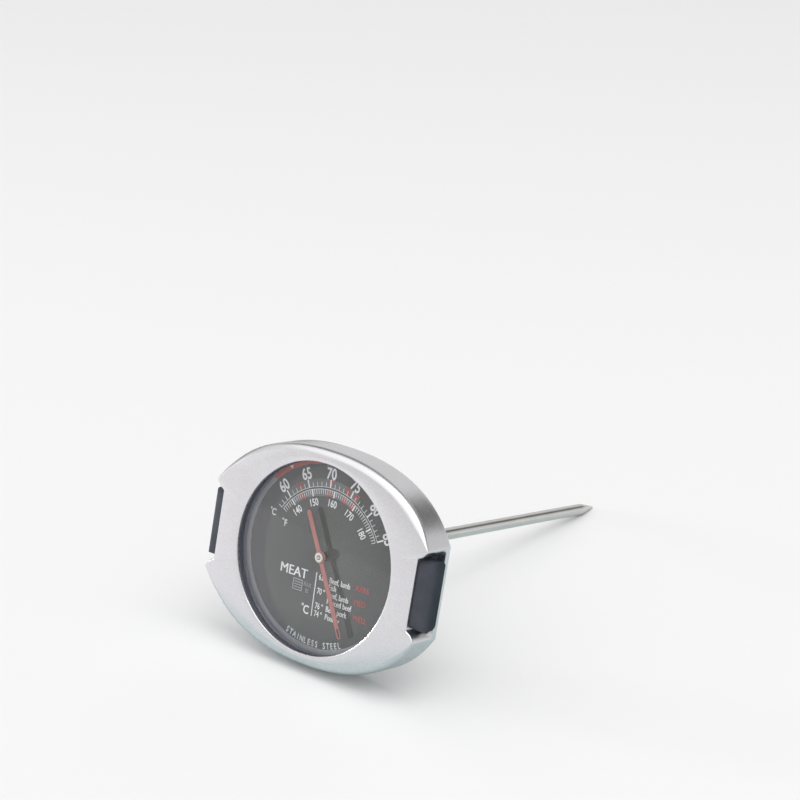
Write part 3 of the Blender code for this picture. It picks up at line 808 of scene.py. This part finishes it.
def grip_block(name):
    """The grip's section, which is rounded at the front, drawn out along its height."""
    inner = POCKET_X + GAP / 4
    top, side = (inner + GRIP_FLAT, GRIP_FRONT_Z), (GRIP_OUT_X, GRIP_FRONT_Z + GRIP_FRONT_ROUND)
    crown = blend(top, (GRIP_OUT_X, GRIP_FRONT_Z), side, 16)
    heel = rounded_corner(side, (GRIP_OUT_X, GRIP_BACK_Z), (inner, GRIP_BACK_Z), GRIP_BACK_ROUND, 6)
    section = [(inner, GRIP_FRONT_Z)] + crown + heel + [(inner, GRIP_BACK_Z)]
    mesh = flat_mesh(name, [section], -GRIP_HALF_HEIGHT, GRIP_HALF_HEIGHT)
    mesh.transform(Matrix.Rotation(math.pi / 2, 4, "X"))
    return placed(name, mesh)


def grip_trim(name):
    """The grip's outline as seen from its end, drawn out through the block."""
    high, front, back = GRIP_HALF_HEIGHT, GRIP_FRONT_Z, GRIP_BACK_Z
    corners = [(front, -high), (back, -high), (back, high), (front, high)]
    mesh = flat_mesh(name, [polygon_with_round_corners(corners, GRIP_CORNER, 8)], 0.0, OVAL_X)
    mesh.transform(Matrix.Translation((OVAL_X, 0.0, 0.0)) @ Matrix.Rotation(-math.pi / 2, 4, "Y"))
    return placed(name, mesh)


def make_grip(name, node, turn):
    block = grip_block(name)
    trim = grip_trim(f"{name}_trim")
    cut = block.modifiers.new("Trim", "BOOLEAN")
    cut.operation = "INTERSECT"
    cut.solver = "EXACT"
    cut.object = trim
    bevel(block, GRIP_EDGE, 5, 50.0)
    mesh = evaluated(block)
    mesh.name = name
    for item in (block, trim):
        bpy.data.objects.remove(item, do_unlink=True)
    mesh.transform(Matrix.Rotation(turn, 4, "Z"))
    add_piece(name, mesh, "housing", RUBBER, node, smooth=25.0)


def make_stem():
    """The stem: its cone starts softly and ends in a small rounded nose."""
    outer, _, front, tip = extent("stem_tube")
    cone = tip - CONE_LENGTH
    profile = [(0.0, front), (outer, front), (outer, cone - CONE_EASE)]
    profile += [(outer * CONE_SHRINK, cone + CONE_EASE / 2)]
    nose = ((1.15, 1.4), (0.8, 0.45), (0.4, 0.1), (0.0, 0.0))
    profile += [(NOSE_R * across, tip - NOSE_R * along) for across, along in nose]
    mesh = lathe("probe_stem", profile, FINE, closed=False)
    add_piece("probe_stem", mesh, "housing", STEM_STEEL, "stem_tube")


def make_collar():
    _, bore, _, end = extent("stem_collar")
    front = COVER_LAND_Z + GAP
    flange = front + COLLAR_FLANGE
    profile = [(COLLAR_NECK_R, end), (COLLAR_BODY_R, front + COLLAR_BODY), (COLLAR_BODY_R, flange),
               (COLLAR_FLANGE_R, flange), (COLLAR_FLANGE_R, front), (COLLAR_SHANK_R, front),
               (COLLAR_SHANK_R, COLLAR_SHANK_Z), (bore, COLLAR_SHANK_Z), (bore, end)]
    mesh = lathe("collar", rounded(profile, 0.18 * MM), FINE)
    add_piece("collar", mesh, "housing", HIDDEN_STEEL, "stem_collar")


def make_lens():
    outer, _, front, back = extent("lens_glass")
    profile = [(0.0, back), (outer, back), (outer, front), (0.0, front)]
    mesh = lathe("lens", rounded(profile, 0.15 * MM, closed=False), closed=False)
    add_piece("lens", mesh, "target", GLASS, "lens_glass")


def make_well():
    outer, _, front, back = extent("well_ring")
    lens_outer, _, _, lens_back = extent("lens_glass")
    ring_outer, _, ring_front, _ = extent("target_ring")
    pocket, seat, wall = lens_outer + GAP, lens_back + GAP, ring_front - GAP
    profile = [(outer, back), (outer, front), (pocket, front), (pocket, seat), (WELL_R, seat)]
    for share in GROOVE_SHARES:
        z, half = seat + (wall - seat) * share, GROOVE_HALF_WIDTH
        profile += [(WELL_R, z - half), (WELL_R + GROOVE_DEPTH, z), (WELL_R, z + half)]
    profile += [(WELL_R, wall), (ring_outer + GAP, wall), (ring_outer + GAP, back)]
    add_piece("well_wall", lathe("well_wall", profile), "target", DARK_PLASTIC, "well_ring")


def ring_mesh(name, node, reach, steps):
    """A flat ring as large as the CAD node, with rounded edges."""
    outer, inner, front, back = extent(node)
    profile = [(outer, back), (outer, front), (inner, front), (inner, back)]
    return lathe(name, rounded(profile, reach, steps))


def make_target_ring():
    mesh = ring_mesh("marker_ring", "target_ring", 0.1 * MM, 3)
    add_piece("marker_ring", mesh, "target", RING_PLASTIC, "target_ring")


def make_dial():
    mesh = ring_mesh("dial_face", "dial_plate", 0.06 * MM, 2)
    add_piece("dial_face", mesh, "housing", DIAL_PAINT, "dial_plate")


def pointer_outline():
    """Half of the pointer, from the middle of its tip down the right side to its tail, then mirrored."""
    half, disc = POINTER_HALF_WIDTH, POINTER_DISC_R
    neck = math.asin(half / disc)
    tip_steps, disc_steps = 8, 24
    tip = [math.pi / 2 * i / tip_steps for i in range(tip_steps + 1)]
    right = [(half * math.sin(a), -POINTER_LONG + half * (1 - math.cos(a))) for a in tip]
    sweep = [neck + (math.pi - 2 * neck) * i / disc_steps for i in range(disc_steps + 1)]
    right += [(disc * math.sin(a), -disc * math.cos(a)) for a in sweep]
    right += [(half * math.cos(a), POINTER_TAIL - half * (1 - math.sin(a))) for a in tip]
    return right + [(-x, y) for x, y in reversed(right[1:-1])]


def slot_outline():
    half = SLOT_HALF_WIDTH
    start = POINTER_HALF_WIDTH - half - POINTER_LONG
    end = start + SLOT_LENGTH
    return polygon_with_round_corners([(-half, start), (half, start), (half, end), (-half, end)], half, 5)


def make_pointer():
    _, _, front, back = extent("pointer")
    outlines = [pointer_outline(), circle(POINTER_HOLE_R), slot_outline()]
    mesh = flat_mesh("needle_pointer", outlines, front, back, POINTER_EDGE)
    mesh.transform(Matrix.Rotation(POINTER_REST, 4, "Z"))
    add_piece("needle_pointer", mesh, "needle", RED_PAINT, "pointer")


def make_hub():
    """The hub: a dished head in front of the pointer, a shank through it and a head behind."""
    head, bore, front, back = extent("pointer_hub")
    _, _, pointer_front, pointer_back = extent("pointer")
    near, far = pointer_front - GAP, pointer_back + GAP
    profile = [(head, back), (head, far), (HUB_SHANK_R, far), (HUB_SHANK_R, near), (head, near),
               (head, front + HUB_DISH), (head - HUB_DISH_RIM, front), (bore, front), (bore, back)]
    mesh = lathe("needle_cap", rounded(profile, 0.08 * MM, 3), FINE)
    add_piece("needle_cap", mesh, "needle", HUB_METAL, "pointer_hub")


# ---- print


def add_bar(shape, outline, front, back):
    """A thin closed plate of ink with a convex outline."""
    near = [shape.verts.new((x, y, front)) for x, y in outline]
    far = [shape.verts.new((x, y, back)) for x, y in outline]
    for i in range(len(outline)):
        j = (i + 1) % len(outline)
        shape.faces.new((near[i], near[j], far[j], far[i]))
    shape.faces.new(near)
    shape.faces.new(far[::-1])


def add_rectangle(shape, left, right, top, bottom, front, back):
    add_bar(shape, [(left, top), (right, top), (right, bottom), (left, bottom)], front, back)


def polar(radius, turn):
    """A point at a clock angle, measured clockwise from the top of the dial."""
    return radius * math.sin(turn), -radius * math.cos(turn)


def add_tick(shape, turn, inner, outer, width, front, back):
    along = Vector((math.sin(turn), -math.cos(turn)))
    side = Vector((math.cos(turn), math.sin(turn))) * width / 2
    corners = [along * inner - side, along * outer - side, along * outer + side, along * inner + side]
    add_bar(shape, [tuple(c) for c in corners], front, back)


def add_arc(shape, inner, outer, start, end, front, back):
    """A band between two clock angles, in quads."""
    steps = max(2, int(math.degrees(end - start)))
    section = ((inner, front), (outer, front), (outer, back), (inner, back))
    rows = []
    for i in range(steps + 1):
        turn = start + (end - start) * i / steps
        rows.append([shape.verts.new((*polar(r, turn), z)) for r, z in section])
    for first, second in zip(rows, rows[1:]):
        for i in range(4):
            j = (i + 1) % 4
            shape.faces.new((first[i], first[j], second[j], second[i]))
    shape.faces.new(rows[0])
    shape.faces.new(rows[-1][::-1])


def letters_mesh(body, weight=0.0):
    """Text as a thin mesh, thickened by the weight."""
    curve = bpy.data.curves.new("text", "FONT")
    curve.body = body
    curve.extrude = TEXT_HALF_DEPTH
    curve.offset = weight
    curve.resolution_u = 4
    return mesh_from(curve)


def caps_height():
    """Where capitals start and end above the line in the font."""
    ys = [v.co.y for v in letters_mesh("H").vertices]
    return min(ys), max(ys)


TEXT_HALF_DEPTH = 0.01
BOLD_SHIFT = 0.026
CAPS = caps_height()


def add_text(shape, body, height, centre, turn, front, condense=0.62, weight=0.016, anchor="middle"):
    """Text in ink: its capitals are as high as stated, and its middle or its start lies at the centre."""
    mesh = letters_mesh(body, weight)
    xs = [v.co.x for v in mesh.vertices]
    low, high = CAPS
    scale = height / (high - low)
    start = (min(xs) + max(xs)) / 2 if anchor == "middle" else min(xs)
    matrix = (
        Matrix.Translation((centre[0], centre[1], front + INK / 2))
        @ Matrix.Rotation(turn, 4, "Z")
        @ Matrix.Rotation(math.pi, 4, "X")
        @ Matrix.Diagonal((scale * condense, scale, INK / (2 * TEXT_HALF_DEPTH), 1.0))
        @ Matrix.Translation((-start, -(low + high) / 2, 0.0))
    )
    mesh.transform(matrix)
    shape.from_mesh(mesh)
    bpy.data.meshes.remove(mesh)


def add_bold(shape, body, height, centre, front, condense, anchor="middle"):
    """Text whose upright strokes are thickened by a second copy beside the first."""
    for side in (-1, 1):
        place = (centre[0] + side * height * BOLD_SHIFT, centre[1])
        add_text(shape, body, height, place, 0.0, front + side * 0.1 * INK, condense, 0.0, anchor)


def turn_of_c(degrees):
    return ZERO_TURN + (degrees - ZERO_C) * TURN_PER_C


def turn_of_f(degrees):
    return turn_of_c((degrees - 32.0) / 1.8)


def print_piece(name, shape, body, material):
    bmesh.ops.recalc_face_normals(shape, faces=shape.faces)
    mesh = bpy.data.meshes.new(name)
    shape.to_mesh(mesh)
    shape.free()
    mesh.transform(Matrix.Rotation(PRINT_TURN, 4, "Z"))
    add_piece(name, mesh, body, material)


def add_degree_sign(shape, height, middle, front):
    """A small ring, for letters of this height."""
    inner, outer = height * 0.08, height * 0.17
    steps = 16
    for i in range(steps):
        a, b = math.tau * i / steps, math.tau * (i + 1) / steps
        corners = [polar(r, t) for r, t in ((inner, a), (outer, a), (outer, b), (inner, b))]
        add_bar(shape, [(middle[0] + x, middle[1] + y) for x, y in corners], front, front + INK)


def add_unit(shape, letter, height, centre, front):
    """A degree sign and its letter, placed in millimetres."""
    x, y = (c * MM for c in centre)
    add_text(shape, letter, height, (x, y), 0.0, front, condense=0.84, weight=0.02)
    add_degree_sign(shape, height, (x - height * 0.56, y - height * 0.50), front)


def add_scales(white, level, dial):
    """The ticks and figures of the Celsius scale outside and the Fahrenheit scale inside their two lines."""
    for radius in (C_LINE_R, F_LINE_R):
        start, end = (turn_of_c(degrees) for degrees in SCALE_C)
        add_arc(white, radius - LINE_W / 2, radius + LINE_W / 2, start, end, level, dial)
    for degrees in range(SCALE_C[0], SCALE_C[1] + 1):
        outer, width = (C_MINOR_R, MINOR_W) if degrees % 5 else (C_MAJOR_R, MAJOR_W)
        add_tick(white, turn_of_c(degrees), C_LINE_R, outer, width, level, dial)
    for degrees in range(SCALE_F[0], SCALE_F[1] + 1):
        inner, width = (F_MINOR_R, MINOR_W) if degrees % 10 else (F_MAJOR_R, MAJOR_W)
        add_tick(white, turn_of_f(degrees), inner, F_LINE_R, width, level, dial)
    for degrees in range(60, 90, 5):
        turn = turn_of_c(degrees)
        add_text(white, str(degrees), 3.1 * MM, polar(C_FIGURE_R, turn), turn, level, 0.78, 0.024)
    for degrees in range(140, 190, 10):
        turn = turn_of_f(degrees)
        add_text(white, str(degrees), 2.0 * MM, polar(F_FIGURE_R, turn), turn, level, 0.76)
    add_unit(white, "C", 1.9 * MM, (-19.6, -8.2), level)
    add_unit(white, "F", 1.9 * MM, (-14.9, -6.1), level)


def add_table(white, level, dial):
    """The temperatures of the foods, beside an upright rule."""
    add_unit(white, "C", 2.4 * MM, (-3.6, 16.4), level)
    add_rectangle(white, *(x * MM for x in TABLE_RULE_X), *(y * MM for y in TABLE_RULE_Y), level, dial)
    for number, y, words in TABLE_ROWS:
        place = (TABLE_NUMBER_X * MM, y * MM)
        add_text(white, number, 1.7 * MM, place, 0.0, level, 0.7, 0.014, "start")
        add_degree_sign(white, 1.9 * MM, (TABLE_SIGN_X * MM, (y - 0.55) * MM), level)
        for word, word_y in words:
            add_bold(white, word, 1.65 * MM, (TABLE_WORD_X * MM, word_y * MM), level, 0.74, "start")
    add_bold(white, "MEAT", 2.7 * MM, (-9.6 * MM, 6.5 * MM), level, 1.0)


def add_arc_words(white, level):
    """Words on an arc along the dial's lower edge, read from inside."""
    for i, letter in enumerate(ARC_WORDS):
        if letter == " ":
            continue
        turn = math.radians(ARC_WORDS_START + ARC_WORDS_SWEEP * i / (len(ARC_WORDS) - 1))
        place = (ARC_WORDS_R * math.sin(turn), ARC_WORDS_R * math.cos(turn))
        add_text(white, letter, 1.7 * MM, place, -turn, level, 0.74)


def add_symbol(faint, level, bar_level, dial):
    """A small barred symbol with the highest temperature beside it."""
    left, right, top, bottom, line = -9.6 * MM, -6.3 * MM, 8.5 * MM, 11.5 * MM, 0.3 * MM
    for x in (left, right):
        add_rectangle(faint, x, x + line, top, bottom, level, dial)
    for i in range(5):
        y = top + (bottom - top) * i / 4
        add_rectangle(faint, left, right + line, y, y + line, bar_level, dial)
    for word, y in (("MAX", 9.3), ("85", 11.1)):
        add_text(faint, word, 1.15 * MM, (-4.2 * MM, y * MM), 0.0, level, 0.74, 0.01)


def make_print():
    """The dial's print. Each colour lies a little higher than the one before, so they don't share faces."""
    dial = extent("dial_plate")[2]
    grey_z, red_z, white_z = (dial - level * INK for level in (0.5, 1.0, 1.5))
    f_outer, c_inner = F_LINE_R - BAND_GAP, C_LINE_R + BAND_GAP

    grey = bmesh.new()
    start, end = (turn_of_c(degrees) for degrees in BAND_C)
    for inner, outer in ((F_MAJOR_R, f_outer), (c_inner, C_MAJOR_R)):
        add_arc(grey, inner, outer, start, end, grey_z, dial + INK)
    print_piece("dial_print_bands", grey, "housing", GREY_INK)

    red = bmesh.new()
    for degrees in ACCENTS_C:
        add_tick(red, turn_of_c(degrees), c_inner, C_MAJOR_R, ACCENT_W, red_z, dial)
    for degrees in ACCENTS_F:
        add_tick(red, turn_of_f(degrees), F_MAJOR_R, f_outer, ACCENT_W, red_z, dial)
    for word, y in DONENESS:
        add_bold(red, word, 1.6 * MM, (DONENESS_X * MM, y * MM), red_z, 0.85, "start")
    print_piece("dial_print_red", red, "housing", RED_INK)

    white = bmesh.new()
    add_scales(white, white_z, dial)
    add_table(white, white_z, dial)
    add_arc_words(white, white_z)
    print_piece("dial_print_white", white, "housing", WHITE_INK)

    faint = bmesh.new()
    add_symbol(faint, white_z, grey_z, dial)
    print_piece("dial_print_faint", faint, "housing", FAINT_INK)


def make_ring_print():
    outer, inner, front, _ = extent("target_ring")
    arc = bmesh.new()
    add_arc(arc, inner + 0.02 * MM, outer, *ARC_TURNS, front - INK, front)
    print_piece("ring_print_arc", arc, "target", ARC_INK)
    mark = bmesh.new()
    base = [polar(inner + MARK_BASE, MARK_TURN + side * MARK_HALF_TURN) for side in (-1, 1)]
    add_bar(mark, base + [polar(inner + MARK_TIP, MARK_TURN)], front - 2 * INK, front)
    print_piece("ring_print_mark", mark, "target", WHITE_INK)


def finish_hidden_nodes():
    """The CAD nodes that stay are mostly sealed in, and get their own finishes."""
    finishes = {
        "case_gasket": SEAL, "lens_seal": LENS_SEAL, "dial_carrier": DARK_PLASTIC,
        "pointer_shaft": HIDDEN_STEEL, "upper_bearing": DARK_BRASS, "lower_bearing": BRASS,
        "bimetal_coil": BIMETAL, "coil_anchor": BRASS, "stem_washer": HIDDEN_STEEL, "stem_nut": HIDDEN_STEEL,
    }
    for node, material in finishes.items():
        for slot in frame["nodes"][node].material_slots:
            slot.material = material


# ---- stage


def distance_from(tree, centre):
    """How far a place is from the centre, in millimetres."""
    node = tree.nodes.new("ShaderNodeVectorMath")
    node.operation = "DISTANCE"
    node.inputs[1].default_value = centre
    tree.links.new(coordinates(tree), node.inputs[0])
    return node.outputs["Value"]


def table_tint():
    """Pale cyan close to the object, a lilac grey away from it, and a dark place behind it to the left."""
    material, tree, shader = new_material("table_tint")
    cloud = noise(tree, 0.02, 2.0)
    near = tinted(tree, cloud, (0.56, 0.645, 0.65), (0.58, 0.665, 0.67))
    far = tinted(tree, cloud, (0.86, 0.85, 0.875), (0.88, 0.87, 0.895))
    away = ramp(tree, distance_from(tree, SHEEN_CENTRE), *SHEEN_FADE)
    light = ramp(tree, distance_from(tree, DARK_CENTRE), *DARK_FADE, DARK_LEVEL)
    shaded = tree.nodes.new("ShaderNodeVectorMath")
    shaded.operation = "SCALE"
    tree.links.new(colour_mix(tree, away, near, far), shaded.inputs["Vector"])
    tree.links.new(light, shaded.inputs["Scale"])
    tree.links.new(shaded.outputs["Vector"], shader.inputs["Base Color"])
    shader.inputs["Roughness"].default_value = 0.9
    shader.inputs["Specular IOR Level"].default_value = 0.0
    return material


def stage_plane(name, half, centre, level, material):
    x, y = centre
    corners = [(x - half, y - half, level), (x + half, y - half, level), (x + half, y + half, level),
               (x - half, y + half, level)]
    item = placed(name, mesh_of(name, corners, [(0, 1, 2, 3)]))
    item.data.materials.append(material)
    return item


def make_floor():
    """The floor that the camera sees, and above it the tinted table that only shows in reflections."""
    floor = stage_plane("studio_floor", 6.0, (0.0, 0.0), FLOOR_LEVEL, FLOOR_PAPER)
    floor.visible_glossy = False
    table = stage_plane("table_sheen", 0.55, (-0.05, -0.1), FLOOR_LEVEL / 2, table_tint())
    table.visible_camera = False
    table.visible_shadow = False
    table.visible_diffuse = False
    table.visible_transmission = False


def area_light(name, place, aim, size, power, colour=(1.0, 1.0, 1.0)):
    """A square lamp that looks at the aim."""
    data = bpy.data.lights.new(name, "AREA")
    data.shape = "SQUARE"
    data.size = size
    data.energy = power
    data.color = colour
    item = placed(name, data)
    item.location = place
    item.rotation_euler = (Vector(aim) - Vector(place)).to_track_quat("-Z", "Y").to_euler()
    return item


def linked(name, pieces):
    """A collection of pieces for a lamp to light or to be blocked by."""
    group = bpy.data.collections.new(name)
    for piece in pieces:
        group.objects.link(bpy.data.objects[piece])
    return group


def dial_lamp(name, direction, power, blockers, colour=(1.0, 1.0, 1.0)):
    """A small lamp a metre away that only lights the dial, with shadows of only these pieces."""
    aim = STEM.translation
    item = area_light(name, aim + Vector(direction).normalized(), aim, DIAL_LAMP_SIZE, power, colour)
    item.light_linking.receiver_collection = linked(f"{name}_lit", ["dial_face"])
    item.light_linking.blocker_collection = linked(f"{name}_shade", blockers)


def make_lights():
    area_light("overhead", (0.36, -0.12, 1.1), (0.0, -0.02, 0.0), 0.9, 3.2)
    area_light("low_left", (-0.95, -0.42, 0.10), (0.0, -0.067, 0.03), 0.12, 3.0)
    dial_lamp("dial_key", (-0.812, -0.507, -0.290), 21.0, ["needle_pointer", "needle_cap"])
    dial_lamp("dial_fill", (-0.78, -0.604, 0.139), 7.0, ["bezel_shell"], (0.9, 1.0, 0.6))


def dark_patch(tree, direction, centre, inner, outer, level):
    """A soft round dark place in the surroundings: full strength outside it, level inside."""
    node = tree.nodes.new("ShaderNodeVectorMath")
    node.operation = "DOT_PRODUCT"
    node.inputs[1].default_value = Vector(centre).normalized()
    tree.links.new(direction, node.inputs[0])
    edge, core = math.cos(math.radians(outer)), math.cos(math.radians(inner))
    return ramp(tree, node.outputs["Value"], edge, core, 1.0, level)


def dark_strip(tree, place):
    """A dark strip across the sky behind the object, between the light overhead and the backdrop."""
    before = ramp(tree, place.outputs["Y"], *STRIP_NEAR, 1.0, 0.0)
    beyond = ramp(tree, place.outputs["Y"], *STRIP_FAR)
    below = ramp(tree, place.outputs["Z"], *STRIP_LOW, 1.0, 0.0)
    outside = calculated(tree, "ADD", before, beyond, clamp=True)
    outside = calculated(tree, "ADD", outside, below, clamp=True)
    return ramp(tree, outside, 0.0, 1.0, STRIP_LEVEL)


def make_world():
    """Soft light from all round, brighter overhead, with dark places that mirror in the steel."""
    world = bpy.data.worlds.new("studio")
    bpy.context.scene.world = world
    world.use_nodes = True
    tree = world.node_tree
    direction = tree.nodes.new("ShaderNodeTexCoord").outputs["Generated"]
    place = tree.nodes.new("ShaderNodeSeparateXYZ")
    tree.links.new(direction, place.inputs["Vector"])
    strength = ramp(tree, place.outputs["Z"], *SKY_RISE, WORLD_LOW, WORLD_HIGH)
    for patch in (BACK_RIGHT, BACK_LEFT):
        strength = calculated(tree, "MULTIPLY", strength, dark_patch(tree, direction, *patch))
    strength = calculated(tree, "MULTIPLY", strength, dark_strip(tree, place))
    background = tree.nodes["Background"]
    background.inputs["Color"].default_value = (1.0, 1.0, 1.0, 1.0)
    tree.links.new(strength, background.inputs["Strength"])


def make_camera():
    """Looks down on the thermometer from in front and to the right, turned with the print."""
    right = Vector((math.cos(AZIMUTH), math.sin(AZIMUTH), 0.0))
    level = Vector((-math.sin(AZIMUTH), math.cos(AZIMUTH), 0.0))
    forward = level * math.cos(ELEVATION) - Vector((0.0, 0.0, math.sin(ELEVATION)))
    above = right.cross(forward)
    data = bpy.data.cameras.new("camera")
    data.lens = LENS_MM
    data.sensor_width = SENSOR_MM
    data.clip_start = 0.01
    matrix = Matrix((right, above, -forward)).transposed().to_4x4()
    offset = right * CAMERA_RIGHT + above * CAMERA_ABOVE - forward * CAMERA_BACK
    matrix.translation = STEM.translation + offset
    camera = placed("camera", data)
    camera.matrix_world = STEM @ Matrix.Rotation(PRINT_TURN, 4, "Z") @ STEM.inverted() @ matrix
    bpy.context.scene.camera = camera


make_bezel()
make_cover()
make_grip("grip_pad_left", "grip_left", math.pi)
make_grip("grip_pad_right", "grip_right", 0.0)
make_stem()
make_collar()
make_lens()
make_well()
make_target_ring()
make_dial()
make_pointer()
make_hub()
make_print()
make_ring_print()
finish_hidden_nodes()
make_floor()
make_world()
make_lights()
make_camera()
bpy.context.scene.view_settings.view_transform = "Standard"
